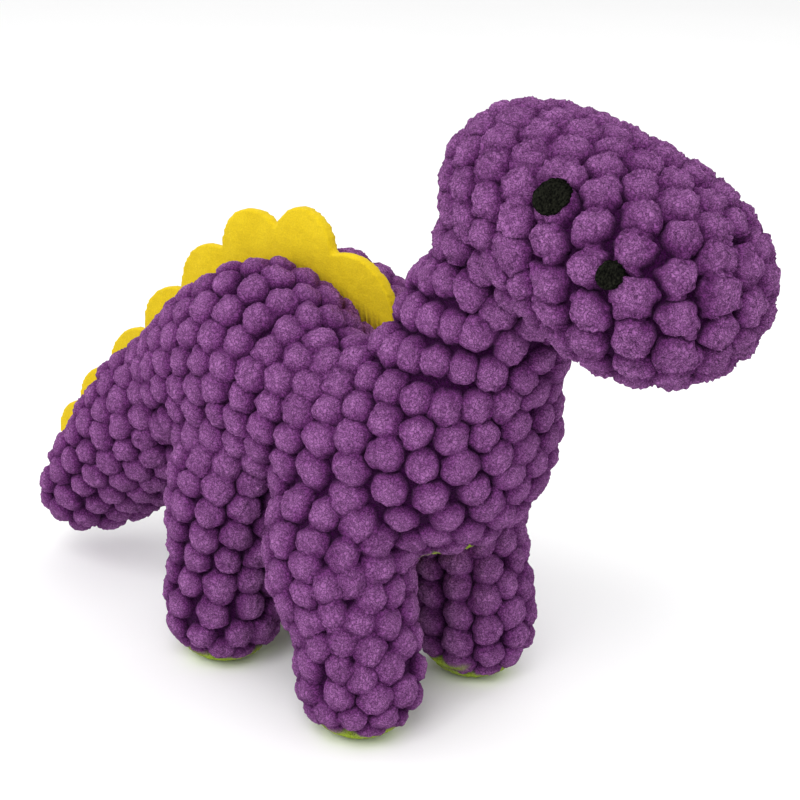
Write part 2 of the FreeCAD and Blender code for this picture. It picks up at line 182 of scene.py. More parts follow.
# the cloth simulation, and the furthest that it may move a point
CLOTH_FRAMES = 12
CLOTH_CAP = 2.0 * MM
CLOTH_PRESSURE = 4
CLOTH_STIFFNESS = 20
CLOTH_BENDING = 0.2

# the panels that the skin is flattened in, to lay the bobbles out, and how much a face
# leans inward or downward to be on an inner leg or a sole
OUTER, INNER_LEG, SOLE = 0, 1, 2
PANEL_KINDS = 3
INWARD_LEAN = 0.15
DOWNWARD_LEAN = 0.35
LEG_TOP = belly_low[2] - 1 * MM
LEG_SPLIT = (pivot("front_leg_left")[0] + pivot("rear_leg_left")[0]) / 2
SOLE_HEIGHT = 7 * MM

# bobbles: their upright columns, one bobble's radius and height, how close together they
# are thinned and how far apart they are filled in, and how they are evened out
BOBBLE_COLUMN = 9.6 * MM
BOBBLE_STEP = 8.4 * MM
BOBBLE_RADIUS = 5.3 * MM
BOBBLE_RISE = 3.5 * MM
BOBBLE_NEAR = 6.6 * MM
BOBBLE_FAR = 7.0 * MM
BOBBLE_NEAREST = 5.8 * MM
EVEN_ROUNDS = 4
EVEN_SHARE = 0.5

# a bobble's shape: how far its sides are steepened, how much its size varies, and how
# much of its width is its own rather than that of the room it has
SPREAD_SHARE = 0.85
SIZE_VARIATION = 0.07
SIZE_LIMITS = (0.86, 1.14)
OWN_SHARE = 0.7

# the pile: how far its ground lies under the CAD surface, the sizes and heights of its
# roughness, how much painted shade darkens the grain's low spots, how it loosens up the
# head, and how far bobbles' outlines are pushed about
SKIN_SINK = 2.6 * MM
CLUMP_SIZE = 2.3 * MM
CLUMP_RISE = 0.45 * MM
CURL_SIZE = 1.15 * MM
CURL_RISE = 0.36 * MM
WEAVE_SIZE = 1.3 * MM
WEAVE_RISE = 0.1 * MM
GRAIN_RISE = 0.16 * MM
GRAIN_SHADE = 0.1
HEAD_FLUFF = 0.7
HEAD_UP = unit(np.array([0.6, 0, 0.8]))
FLUFF_REACH = 25 * MM
WIDE_SIZE = 5.5 * MM
WIDE_PUSH = 1.0 * MM
TIGHT_SIZE = 2.1 * MM
TIGHT_PUSH = 0.65 * MM

# green fleece: how steeply the skin faces down where it starts and where it is full, how
# soft its edge is, and how far it reaches
FLEECE_RISE = 0.7 * MM
BELLY_FACING = (0.45, 0.6)
BELLY_EDGE = 0.6 * MM
SOLE_FACING = (0.1, 0.3)
SOLE_EDGE = 0.5 * MM
BELLY_HALF = (belly_high[1] - belly_low[1]) / 2 + 2 * MM
BELLY_TOP = belly_high[2] + 12 * MM
SOLE_RADIUS = (sole_high[0] - sole_low[0]) / 2
SOLE_TOP = 16 * MM

# where the pieces of the skin part from one another
NECK_TURN = unit(np.array([0.72, 0, 0.69]))
NECK_START = -12 * MM
NECK_END = 9.3 * MM
TAIL_START = pivot("tail")[0] + 4 * MM
LEG_START = belly_low[2] - 1.5 * MM
SKIN_PIECES = ["torso_skin_right", "torso_skin_left", "neck_skin"]
SKIN_PIECES += ["head_skin_right", "head_skin_left", "tail_skin"]
SKIN_PIECES += [leg + "_skin" for leg in LEGS]

# felt strips
FELT_VOXEL = 0.75 * MM
FELT_TUCK = 6 * MM
FELT_WAVE = 0.7 * MM
FELT_WAVE_LENGTH = 14 * MM
FELT_NAP = 0.14 * MM
FELT_NAP_SIZE = 1.4 * MM

# embroidered patches: their mesh, their relief, and how they flatten the pile under them,
# fully and then no longer at shares of their radius
PATCH_RINGS = 16
PATCH_SPOKES = 96
PATCH_RAISE = 0.5 * MM
PATCH_DOME = 0.5 * MM
PATCH_TUCK = 1.4 * MM
PATCH_RAGGED = 0.16
PATCH_WAVES = 5
PATCH_FLAT = 0.8
PATCH_FLAT_EDGE = (0.75, 1.05)
THREAD_PITCH = 0.84 * MM
THREAD_RISE = 0.3 * MM
BESIDE_TOY = 60 * MM

# colours
# the purple's stops are painted light and shade: lighter on the bobbles' tops, darker down their
# sides, darkest in the gaps, where the dark is partly the woven base's own colour and partly painted
# shade
PURPLE_PAINTED_LIGHT_TOP = (0.385, 0.15, 0.4)
PURPLE_PAINTED_SIDE_SHADE = (0.19, 0.042, 0.205)
PURPLE_GAP_BASE_AND_SHADE = (0.042, 0.002, 0.05)
GREEN_TOP = (0.45, 0.62, 0.05)
GREEN_DEEP = (0.33, 0.47, 0.03)
FELT_TOP = (0.72, 0.53, 0.014)
FELT_DEEP = (0.65, 0.465, 0.011)

# camera in degrees and metres, lamps in watts, and floor
AIM = (0.0196, -0.00064, 0.0863)
CAMERA_AZIMUTH = 40.2
CAMERA_ELEVATION = 20.0
CAMERA_ROLL = 2.5
CAMERA_DISTANCE = 0.511
CAMERA_LENS = 85.17
SKY_LEVEL = 0.92
KEY_POWER = 8.5
FILL_POWER = 2.0
FLOOR_HALF = 4
FLOOR_GAP = 0.2 * MM

# -------------------- the stuffed shape


def placed(name, data):
    """A new object with this data, in the scene."""
    thing = bpy.data.objects.new(name, data)
    bpy.context.scene.collection.objects.link(thing)
    return thing


def merged_tree(body):
    """A search tree over one body's fabric and stuffing remeshed as one skin, and its box."""
    verts = []
    faces = []
    for node in BODIES[body]:
        if not any(part in node for part in FABRIC_PARTS):
            continue
        mesh = frame["nodes"][node].data
        start = len(verts)
        verts.extend(tuple(v.co) for v in mesh.vertices)
        faces.extend([start + i for i in face.vertices] for face in mesh.polygons)
    mesh = bpy.data.meshes.new("solid_" + body)
    mesh.from_pydata(verts, [], faces)
    solid = placed("solid_" + body, mesh)
    remesh = solid.modifiers.new("Remesh", "REMESH")
    remesh.mode = "VOXEL"
    remesh.voxel_size = SOLID_VOXEL
    bpy.context.view_layer.update()
    tree = BVHTree.FromObject(solid, bpy.context.evaluated_depsgraph_get())
    corners = np.array(verts, float)
    bpy.data.objects.remove(solid)
    return tree, corners.min(0), corners.max(0)


def smooth_min(first, second, reach):
    """The smaller of two fields, rounded where they are within `reach` of each other."""
    near = np.maximum(reach - np.abs(first - second), 0) / reach
    return np.minimum(first, second) - near * near * reach / 4


class Field:
    """Signed distance to the stuffed shape on a regular grid, negative inside."""

    def __init__(self, low, high):
        low = np.array(low, float) - GATHER
        high = np.array(high, float) + GATHER
        half_rows = int(np.ceil(max(-low[1], high[1]) / GRID))
        counts = np.ceil((high - low) / GRID).astype(int)
        counts[1] = 2 * half_rows
        self.origin = np.array([low[0], (0.5 - half_rows) * GRID, low[2]])
        self.values = np.full(counts, 1.0)

    def places(self, first, last):
        """Grid points of a sub-box."""
        axes = [self.origin[k] + np.arange(first[k], last[k]) * GRID for k in range(3)]
        return np.stack(np.meshgrid(*axes, indexing="ij"), -1)

    def sub_box(self, low, high):
        """First and last index of the grid points within GATHER of a box."""
        first = np.floor((low - GATHER - self.origin) / GRID).astype(int)
        last = np.ceil((high + GATHER - self.origin) / GRID).astype(int)
        return np.maximum(first, 0), np.minimum(last, self.values.shape)

    def add_tree(self, tree, low, high, reach):
        """Blend in a remeshed body."""
        first, last = self.sub_box(low, high)
        points = self.places(first, last)
        flat = points.reshape(-1, 3)
        found = np.empty(len(flat))
        for index, point in enumerate(flat):
            place, normal, _, distance = tree.find_nearest(point)
            outside = (point[0] - place[0]) * normal[0] + (point[1] - place[1]) * normal[1]
            outside += (point[2] - place[2]) * normal[2]
            found[index] = distance if outside > 0 else -distance
        self.blend(first, last, found.reshape(points.shape[:3]), reach)

    def add_taper(self, start, end, start_radius, end_radius, reach):
        """Blend in a round taper between two points."""
        radius = max(start_radius, end_radius)
        low, high = np.minimum(start, end) - radius, np.maximum(start, end) + radius
        first, last = self.sub_box(low, high)
        points = self.places(first, last)
        axis = end - start
        along = np.clip((points - start) @ axis / (axis @ axis), 0, 1)
        spine = start + along[..., None] * axis
        distance = np.linalg.norm(points - spine, axis=-1)
        radii = start_radius + (end_radius - start_radius) * along
        self.blend(first, last, distance - radii, reach)

    def add_dent(self, place, size, depth):
        """Press the surface in round a place."""
        points = self.places((0, 0, 0), self.values.shape)
        away = (((points - place) / size) ** 2).sum(-1)
        self.values += depth * np.clip(1 - away, 0, 1) ** 2

    def add_seam(self, tree, low, high, reach, depth):
        """Draw the surface in along the felt strip, where the two sides are sewn together."""
        first, last = self.sub_box(low, high)
        points = self.places(first, last)
        distances = [tree.find_nearest(point)[3] for point in points.reshape(-1, 3)]
        away = np.array(distances) / reach
        drawn = depth * np.clip(1 - away * away, 0, 1) ** 2
        part = tuple(slice(a, b) for a, b in zip(first, last))
        self.values[part] += drawn.reshape(points.shape[:3])

    def blend(self, first, last, found, reach):
        """Merge a sub-box of distances into the field."""
        part = tuple(slice(a, b) for a, b in zip(first, last))
        self.values[part] = smooth_min(self.values[part], found, reach)


def close_joints(field):
    """Fill the gaps at the neck, tail and hips with round tapers."""
    neck, head, tail = pivot("neck"), pivot("head"), pivot("tail")
    inner, outer = neck - neck_axis * NECK_INTO_TORSO, neck + neck_axis * NECK_OUT
    field.add_taper(inner, outer, NECK_ROOT_RADIUS, NECK_RADIUS, NECK_ROUND)
    outer = head + neck_axis * THROAT_INTO_HEAD
    field.add_taper(neck, outer, NECK_RADIUS, THROAT_RADIUS, THROAT_ROUND)
    inner, outer = tail - tail_axis * TAIL_INTO_TORSO, tail + tail_axis * TAIL_OUT
    field.add_taper(inner, outer, TAIL_ROOT_RADIUS, TAIL_RADIUS, ROOT_ROUND)
    for leg in LEGS:
        hip = pivot(leg)
        knee = hip + leg_axis[leg] * THIGH_LENGTH
        field.add_taper(hip, knee, HIP_RADIUS, THIGH_RADIUS, ROOT_ROUND)


def build_field():
    """The whole toy's field: the bodies, the joints closed, and the skin drawn in at its seams."""
    field = Field(cad_low, cad_high)
    for body in ("torso", "neck", "head", "tail", *LEGS):
        field.add_tree(*merged_tree(body), BODY_ROUND.get(body, LEG_ROUND))
    close_joints(field)
    field.add_dent(CREASE_PLACE, CREASE_SIZE, CREASE_DEPTH)
    for strip, depth in (("back_spikes", BACK_SEAM), ("tail_spikes", TAIL_SEAM)):
        source = frame["nodes"][strip]
        tree = BVHTree.FromObject(source, bpy.context.evaluated_depsgraph_get())
        field.add_seam(tree, *node_box(strip), SEAM_REACH, depth)
    field.values = (field.values + field.values[:, ::-1, :]) / 2
    hollow = (field.values > 0) & ~reached_from_outside(field.values > 0)
    field.values[hollow] = -GRID / 4
    return field


def reached_from_outside(open_space):
    """The open grid points joined to the grid's corner: what is left is hollows inside."""
    reached = np.zeros_like(open_space)
    reached[0] = open_space[0]
    while True:
        grown = reached.copy()
        grown[1:] |= reached[:-1]
        grown[:-1] |= reached[1:]
        grown[:, 1:] |= reached[:, :-1]
        grown[:, :-1] |= reached[:, 1:]
        grown[:, :, 1:] |= reached[:, :, :-1]
        grown[:, :, :-1] |= reached[:, :, 1:]
        grown &= open_space
        if (grown == reached).all():
            return reached
        reached = grown


def surface_net(field):
    """A quad mesh of the field's zero surface, one vertex to a crossed grid cell."""
    values = field.values
    cells = tuple(n - 1 for n in values.shape)
    total = np.zeros(cells + (3,))
    count = np.zeros(cells)
    counts = [np.arange(n) for n in values.shape]
    index = np.stack(np.meshgrid(*counts, indexing="ij"), -1).astype(float)
    crossings = []
    for axis in range(3):
        side_a, side_b = (axis + 1) % 3, (axis + 2) % 3
        low = np.take(values, range(cells[axis]), axis)
        high = np.take(values, range(1, cells[axis] + 1), axis)
        crossed = (low < 0) != (high < 0)
        share = np.where(crossed, low / np.where(crossed, low - high, 1), 0)
        place = np.take(index, range(cells[axis]), axis).copy()
        place[..., axis] += share
        for shift_a in (0, 1):
            for shift_b in (0, 1):
                part = [slice(None)] * 3
                part[side_a] = slice(shift_a, shift_a + cells[side_a])
                part[side_b] = slice(shift_b, shift_b + cells[side_b])
                part = tuple(part)
                total += place[part] * crossed[part][..., None]
                count += crossed[part]
        crossings.append((axis, side_a, side_b, crossed, low < 0))
    used = count > 0
    numbers = np.full(cells, -1)
    numbers[used] = np.arange(used.sum())
    verts = total[used] / count[used][:, None] * GRID + field.origin
    faces = []
    for axis, side_a, side_b, crossed, outward in crossings:
        spots = np.argwhere(crossed)
        keep = (spots[:, side_a] > 0) & (spots[:, side_b] > 0)
        keep &= (spots[:, side_a] < cells[side_a]) & (spots[:, side_b] < cells[side_b])
        spots = spots[keep]
        ring = []
        for back_a, back_b in ((1, 1), (0, 1), (0, 0), (1, 0)):
            corner = spots.copy()
            corner[:, side_a] -= back_a
            corner[:, side_b] -= back_b
            ring.append(numbers[tuple(corner.T)])
        quads = np.stack(ring, 1)
        flip = ~outward[tuple(spots.T)]
        quads[flip] = quads[flip][:, ::-1]
        faces.append(quads)
    return verts, np.concatenate(faces)


def neighbour_mean(verts, edges):
    """Each vertex's mean neighbour."""
    total = np.zeros_like(verts)
    count = np.zeros(len(verts))
    for a, b in ((0, 1), (1, 0)):
        np.add.at(total, edges[:, a], verts[edges[:, b]])
        np.add.at(count, edges[:, a], 1)
    return total / count[:, None]


def new_mesh(name, verts, faces):
    """A mesh datablock from arrays."""
    mesh = bpy.data.meshes.new(name)
    mesh.from_pydata(verts.tolist() if hasattr(verts, "tolist") else verts, [], faces.tolist())
    mesh.update()
    return mesh


def vertex_array(mesh):
    """The mesh's vertex places."""
    values = np.empty(len(mesh.vertices) * 3)
    mesh.vertices.foreach_get("co", values)
    return values.reshape(-1, 3)


def normal_array(mesh):
    """The mesh's vertex normals."""
    values = np.empty(len(mesh.vertices) * 3)
    mesh.vertex_normals.foreach_get("vector", values)
    return values.reshape(-1, 3)


def edge_array(mesh):
    """The mesh's edges as pairs of vertices."""
    values = np.empty(len(mesh.edges) * 2, int)
    mesh.edges.foreach_get("vertices", values)
    return values.reshape(-1, 2)


def build_base():
    """The smooth stuffed skin, before any bobbles."""
    verts, faces = surface_net(build_field())
    mesh = new_mesh("base_skin", verts, faces)
    edges = edge_array(mesh)
    for step in SMOOTHING:
        verts = verts + step * (neighbour_mean(verts, edges) - verts)
    mesh.vertices.foreach_set("co", verts.ravel())
    mesh.update()
    return placed("base_skin", mesh)


def inflate(base):
    """Let the skin settle as cloth over its stuffing, each point by no more than a cap."""
    start = vertex_array(base.data)
    cloth = base.modifiers.new("Cloth", "CLOTH")
    cloth.settings.use_pressure = True
    cloth.settings.uniform_pressure_force = CLOTH_PRESSURE
    cloth.settings.effector_weights.gravity = 0
    cloth.settings.tension_stiffness = CLOTH_STIFFNESS
    cloth.settings.compression_stiffness = CLOTH_STIFFNESS
    cloth.settings.bending_stiffness = CLOTH_BENDING
    cloth.settings.quality = 4
    cloth.point_cache.frame_end = CLOTH_FRAMES
    scene = bpy.context.scene
    for step in range(1, CLOTH_FRAMES + 1):
        scene.frame_set(step)
    swollen = base.evaluated_get(bpy.context.evaluated_depsgraph_get())
    moved = vertex_array(swollen.data) - start
    base.modifiers.remove(cloth)
    scene.frame_set(1)
    length = np.linalg.norm(moved, axis=1, keepdims=True)
    moved *= np.minimum(1, CLOTH_CAP / np.maximum(length, 1e-9))
    base.data.vertices.foreach_set("co", (start + moved).ravel())
    base.data.update()


# -------------------- where the bobbles sit


def face_arrays(mesh):
    """Middles and normals of the mesh's faces."""
    centres = np.empty(len(mesh.polygons) * 3)
    mesh.polygons.foreach_get("center", centres)
    normals = np.empty(len(mesh.polygons) * 3)
    mesh.polygons.foreach_get("normal", normals)
    return centres.reshape(-1, 3), normals.reshape(-1, 3)


def cloth_panels(centres, normals):
    """Each face's panel: its side, then outer, inner leg or sole, then rear or front leg."""
    left = centres[:, 1] > 0
    inward = normals[:, 1] * np.where(left, 1, -1) < -INWARD_LEAN
    inner = (centres[:, 2] < LEG_TOP) & inward
    sole = (centres[:, 2] < SOLE_HEIGHT) & (normals[:, 2] < -DOWNWARD_LEAN)
    kind = np.where(sole, SOLE, np.where(inner, INNER_LEG, OUTER))
    front = (kind != OUTER) & (centres[:, 0] > LEG_SPLIT)
    return (left * PANEL_KINDS + kind) * 2 + front


def facing(panel):
    """1 for a panel that faces the animal's right, so that X runs to the right on it, else -1."""
    left, kind = divmod(panel // 2, PANEL_KINDS)
    return -1 if (left == 1) != (kind == INNER_LEG) else 1


def unwrap(base, panels):
    """Flatten each panel, cut along the panels' edges."""
    mesh = base.data
    owners = {}
    for face in mesh.polygons:
        for key in face.edge_keys:
            owners.setdefault(key, []).append(panels[face.index])
    seams = [len(set(owners[tuple(sorted(edge.vertices))])) > 1 for edge in mesh.edges]
    mesh.edges.foreach_set("use_seam", seams)
    bpy.ops.object.select_all(action="DESELECT")
    bpy.context.view_layer.objects.active = base
    base.select_set(True)
    bpy.ops.object.mode_set(mode="EDIT")
    bpy.ops.mesh.select_all(action="SELECT")
    bpy.ops.uv.unwrap(method="ANGLE_BASED", margin=0)
    bpy.ops.object.mode_set(mode="OBJECT")


def laid_flat(places, flat, faces, way):
    """The panel's flat corners at real size, turned so that they line up with X and Z.

    The flat places are taken as complex numbers, so that one product turns and scales them.
    """
    upright = np.stack([places[:, 0] * way, places[:, 2]], 1)
    loose = (flat - flat.mean(0)) @ [1, 1j]
    target = (upright - upright.mean(0)) @ [1, 1j]
    turn = np.vdot(loose, target)
    turn /= abs(turn)
    solid = places[faces]
    crossed = np.cross(solid[:, 2] - solid[:, 0], solid[:, 3] - solid[:, 1])
    true_area = np.linalg.norm(crossed, axis=1).sum()
    corners = flat[faces]
    first, second = corners[:, 2] - corners[:, 0], corners[:, 3] - corners[:, 1]
    flat_area = np.abs(first[:, 0] * second[:, 1] - first[:, 1] * second[:, 0]).sum()
    laid = loose * turn * math.sqrt(true_area / flat_area)
    return np.stack([laid.real, laid.imag], 1)


def lattice_points(low, high):
    """Upright columns of bobbles, each column half a step from its neighbours."""
    columns = range(int(low[0] / BOBBLE_COLUMN) - 1, int(high[0] / BOBBLE_COLUMN) + 2)
    steps = range(int(low[1] / BOBBLE_STEP) - 1, int(high[1] / BOBBLE_STEP) + 2)
    points = []
    for column in columns:
        offset = BOBBLE_STEP / 2 if column % 2 else 0
        points.extend((column * BOBBLE_COLUMN, step * BOBBLE_STEP + offset) for step in steps)
    return points


def bobble_centres(base):
    """Places on the skin for the bobbles, from a lattice laid on each flattened panel."""
    mesh = base.data
    centres, normals = face_arrays(mesh)
    panels = cloth_panels(centres, normals)
    unwrap(base, panels)
    verts = vertex_array(mesh)
    faces = np.array([face.vertices[:] for face in mesh.polygons])
    flat = np.empty(len(mesh.loops) * 2)
    mesh.uv_layers.active.data.foreach_get("uv", flat)
    flat = flat.reshape(-1, 4, 2)
    found = []
    for panel in np.unique(panels):
        members = faces[panels == panel]
        corners = members.ravel()
        order = np.arange(len(corners)).reshape(-1, 4)
        loose = flat[panels == panel].reshape(-1, 2)
        laid = laid_flat(verts[corners], loose, order, facing(panel))
        sheet = [(x, y, 0) for x, y in laid]
        tree = BVHTree.FromPolygons(sheet, order.tolist())
        for x, y in lattice_points(laid.min(0), laid.max(0)):
            place, _, number, _ = tree.ray_cast((x, y, 1), (0, 0, -1))
            if number is None:
                continue
            found.append(on_quad(place, laid[order[number]], verts[members[number]]))
    return np.array(found), verts, faces


def on_quad(place, corners, solid):
    """The point of a solid quad that matches a point of its flat copy."""
    for a, b, c in ((0, 1, 2), (0, 2, 3)):
        first, second = corners[b] - corners[a], corners[c] - corners[a]
        offset = np.array([place[0], place[1]]) - corners[a]
        area = first[0] * second[1] - first[1] * second[0]
        if abs(area) < 1e-12:
            continue
        along = (offset[0] * second[1] - offset[1] * second[0]) / area
        across = (first[0] * offset[1] - first[1] * offset[0]) / area
        if along >= -0.01 and across >= -0.01 and along + across <= 1.01:
            return solid[a] + along * (solid[b] - solid[a]) + across * (solid[c] - solid[a])
    return solid.mean(0)


def near_tree(points):
    """A search tree over points."""
    tree = kdtree.KDTree(len(points))
    for index, point in enumerate(points):
        tree.insert(point, index)
    tree.balance()
    return tree


def thinned(points, gap):
    """The points with any that is too close to an earlier one left out."""
    tree = near_tree(points)
    kept = np.ones(len(points), bool)
    for index, point in enumerate(points):
        if kept[index]:
            for _, other, _ in tree.find_range(point, gap):
                if other > index:
                    kept[other] = False
    return points[kept]


def filled_in(points, places, gap):
    """More points wherever the skin is further than a gap from every point."""
    while True:
        tree = near_tree(points)
        distances = np.array([tree.find(place)[2] for place in places])
        if distances.max() < gap:
            return points
        bare = np.flatnonzero(distances > gap)
        bare = bare[np.argsort(-distances[bare])]
        points = np.concatenate([points, thinned(places[bare], gap)])


def evened(points, places, skin, rounds, share):
    """The points moved a little towards the middle of the skin nearest to them."""
    for _ in range(rounds):
        tree = near_tree(points)
        owner = np.array([tree.find(place)[1] for place in places])
        total = np.zeros_like(points)
        np.add.at(total, owner, places)
        count = np.bincount(owner, minlength=len(points))
        used = count > 0
        middle = points.copy()
        middle[used] = total[used] / count[used][:, None]
        moved = points + share * (middle - points)
        points = np.array([skin.find_nearest(point)[0] for point in moved])
    return points


# -------------------- the bobbled skin


def dense_copy(base, levels):
    """The base skin subdivided."""
    smooth = base.modifiers.new("Smooth", "SUBSURF")
    smooth.levels = levels
    smooth.render_levels = levels
    bpy.context.view_layer.update()
    evaluated = base.evaluated_get(bpy.context.evaluated_depsgraph_get())
    mesh = bpy.data.meshes.new_from_object(evaluated)
    base.modifiers.remove(smooth)
    return mesh


def eased(values, low, high):
    """0 below low, 1 above high, and a smooth rise between."""
    share = np.clip((values - low) / (high - low), 0, 1)
    return share * share * (3 - 2 * share)


def rough(points, scale, seed):
    """Smooth noise from -1 to 1 at each point."""
    shift = Vector((seed * 17.3, seed * 5.1, seed * 9.7))
    return np.array([noise.noise(Vector(point) / scale + shift) for point in points.tolist()])


def fleece_share(points, normals):
    """1 on the green fleece of the soles and belly, 0 on the plush."""
    across = BELLY_HALF - np.abs(points[:, 1])
    belly = eased(-normals[:, 2], *BELLY_FACING) * eased(across, -BELLY_EDGE, BELLY_EDGE)
    belly *= (points[:, 0] > belly_low[0]) & (points[:, 0] < belly_high[0])
    belly *= points[:, 2] < BELLY_TOP
    sole = np.zeros(len(points))
    for leg in LEGS:
        middle = node_centre(leg + "_sole")
        away = np.hypot(points[:, 0] - middle[0], points[:, 1] - middle[1])
        near = eased(SOLE_RADIUS - away, -SOLE_EDGE, SOLE_EDGE) * (points[:, 2] < SOLE_TOP)
        sole = np.maximum(sole, near * eased(-normals[:, 2], *SOLE_FACING))
    return np.maximum(belly, sole)


def face_share(points):
    """How far the pile lies flat round the eyes and nostrils, from 0 to 1."""
    share = np.zeros(len(points))
    for node in FACE_NODES:
        low, high = node_box(node)
        radius = (high[0] - low[0]) / 2
        away = np.linalg.norm(points - (low + high) / 2, axis=1)
        share = np.maximum(share, 1 - eased(away / radius, *PATCH_FLAT_EDGE))
    return share


def warped(places, fluff):
    """The places pushed about by noise, so that no bobble is a clean round ball."""
    pushed = places.copy()
    for axis in range(3):
        wide = rough(places, WIDE_SIZE, 20 + axis) * WIDE_PUSH
        tight = rough(places, TIGHT_SIZE, 30 + axis) * TIGHT_PUSH
        pushed[:, axis] += (wide + tight) * fluff
    return pushed


def fluffiness(places):
    """How loose the pile is: tight on the body, brushed out on the head."""
    beyond = (places - pivot("head")) @ HEAD_UP
    return 1 + HEAD_FLUFF * eased(beyond, 0, FLUFF_REACH)


def two_nearest(places, points):
    """For each place, its nearest point's number and how far its two nearest points are."""
    tree = near_tree(points)
    found = [tree.find_n(place, 2) for place in places.tolist()]
    owner = np.array([pair[0][1] for pair in found])
    first = np.array([pair[0][2] for pair in found])
    second = np.array([pair[1][2] for pair in found])
    return owner, first, second


def away_from(centres, places, normals):
    """Unit vectors along the skin, from each place's own centre towards the place."""
    outward = places - centres
    outward -= (outward * normals).sum(1, keepdims=True) * normals
    return outward / np.maximum(np.linalg.norm(outward, axis=1, keepdims=True), 1e-9)


def raise_bobbles(mesh, points):
    """Pull the dense skin out into soft bobbles round the points.

    Returns each vertex's pile shading, painted shade low in the gaps and in the tufts' and grain's low
    spots and painted light high on the bobbles' tops, its share of fleece, and where it was.
    """
    places = vertex_array(mesh)
    normals = normal_array(mesh)
    fluff = fluffiness(places)
    owner, first, second = two_nearest(warped(places, fluff), points)
    fleece = fleece_share(places, normals)
    flat = np.maximum(fleece, PATCH_FLAT * face_share(places))

    # vertices slide outward, so that each bobble's sides stand up steeply
    reach = (first + second) / 2
    spread = reach * np.sin(np.clip(first / reach, 0, 1) * math.pi / 2)
    slide = (spread - first) * SPREAD_SHARE * (1 - flat)

    # a round dome, partly as wide as its bobble and partly as wide as the room it has
    size = 1 + SIZE_VARIATION * rng.standard_normal(len(points))
    size = np.clip(size, *SIZE_LIMITS)[owner]
    radius = BOBBLE_RADIUS * size * (0.93 + 0.07 * fluff)
    lean = OWN_SHARE * spread / radius + (1 - OWN_SHARE) * spread / reach
    dome = np.clip(1 - lean ** (1.5 + fluff), 0, 1) ** 0.5
    height = BOBBLE_RISE * (0.85 + 0.15 * size) * dome

    # the pile's tufts on the bobbles, and the cloth's own unevenness between them
    clumps = 1 - 2 * np.abs(rough(places, CLUMP_SIZE, 1))
    curls = 1 - 2 * np.abs(rough(places, CURL_SIZE, 2))
    weave = rough(places, WEAVE_SIZE, 3) * WEAVE_RISE
    grain = np.clip(0.8 - 1.4 * np.abs(rng.standard_normal(len(places))), -1.8, 0.8)
    tufts = (clumps * CLUMP_RISE + curls * CURL_RISE + grain * GRAIN_RISE) * fluff

    rise = -SKIN_SINK + height + tufts * np.clip(dome * 1.6, 0, 1) + weave
    rise = rise * (1 - flat) + (FLEECE_RISE + weave * 3) * flat
    outward = away_from(points[owner], places, normals)
    moved = places + outward * slide[:, None] + normals * rise[:, None]
    moved[:, 2] = np.maximum(moved[:, 2], cad_low[2])
    mesh.vertices.foreach_set("co", moved.ravel())
    mesh.update()
    # painted light and shade: the pile is darker in the gaps between bobbles and where the tufts and
    # grain dip, and lighter on the bobbles' tops
    tuft_shade = np.clip(0.5 + 0.5 * (clumps + curls) / 2, 0, 1)
    pile = dome * (0.5 + 0.5 * tuft_shade) * (1 + GRAIN_SHADE * grain)
    return pile, fleece, places


# -------------------- materials


